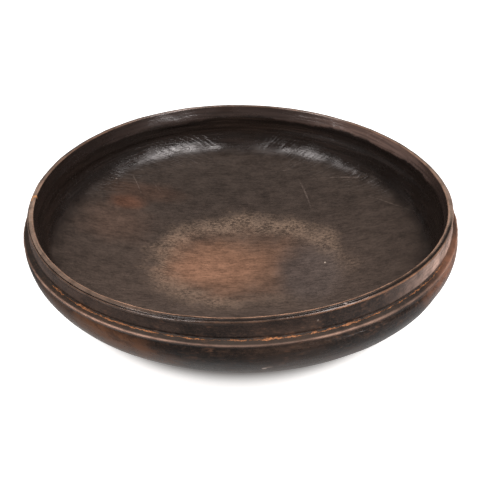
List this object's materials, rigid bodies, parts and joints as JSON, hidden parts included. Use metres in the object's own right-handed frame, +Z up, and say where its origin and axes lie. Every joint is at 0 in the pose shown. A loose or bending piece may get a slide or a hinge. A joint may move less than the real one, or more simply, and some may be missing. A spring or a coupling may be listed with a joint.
{
  "type": "carved wooden bowl",
  "caption": "Low, wide bowl carved from one block of dark wood, with an upright collar above a ridged shoulder, a shallow dish inside and a flat foot.",
  "frame": {"origin": "middle of the bowl's outline on the surface that its foot stands on", "axes": "+Z up through the mouth of the bowl; +X and +Y are two directions across it, with the shoulder drawn out a little along the line from -X,+Y to +X,-Y"},
  "size_m": [0.391, 0.3916, 0.0884],
  "materials": {
    "dark_wood": "darkened, hand-waxed wood with worn, lighter brown edges and a rubbed patch in the middle of the dish"
  },
  "bodies": {
    "root": {"bowl": "dark_wood"}
  },
  "joints": []
}
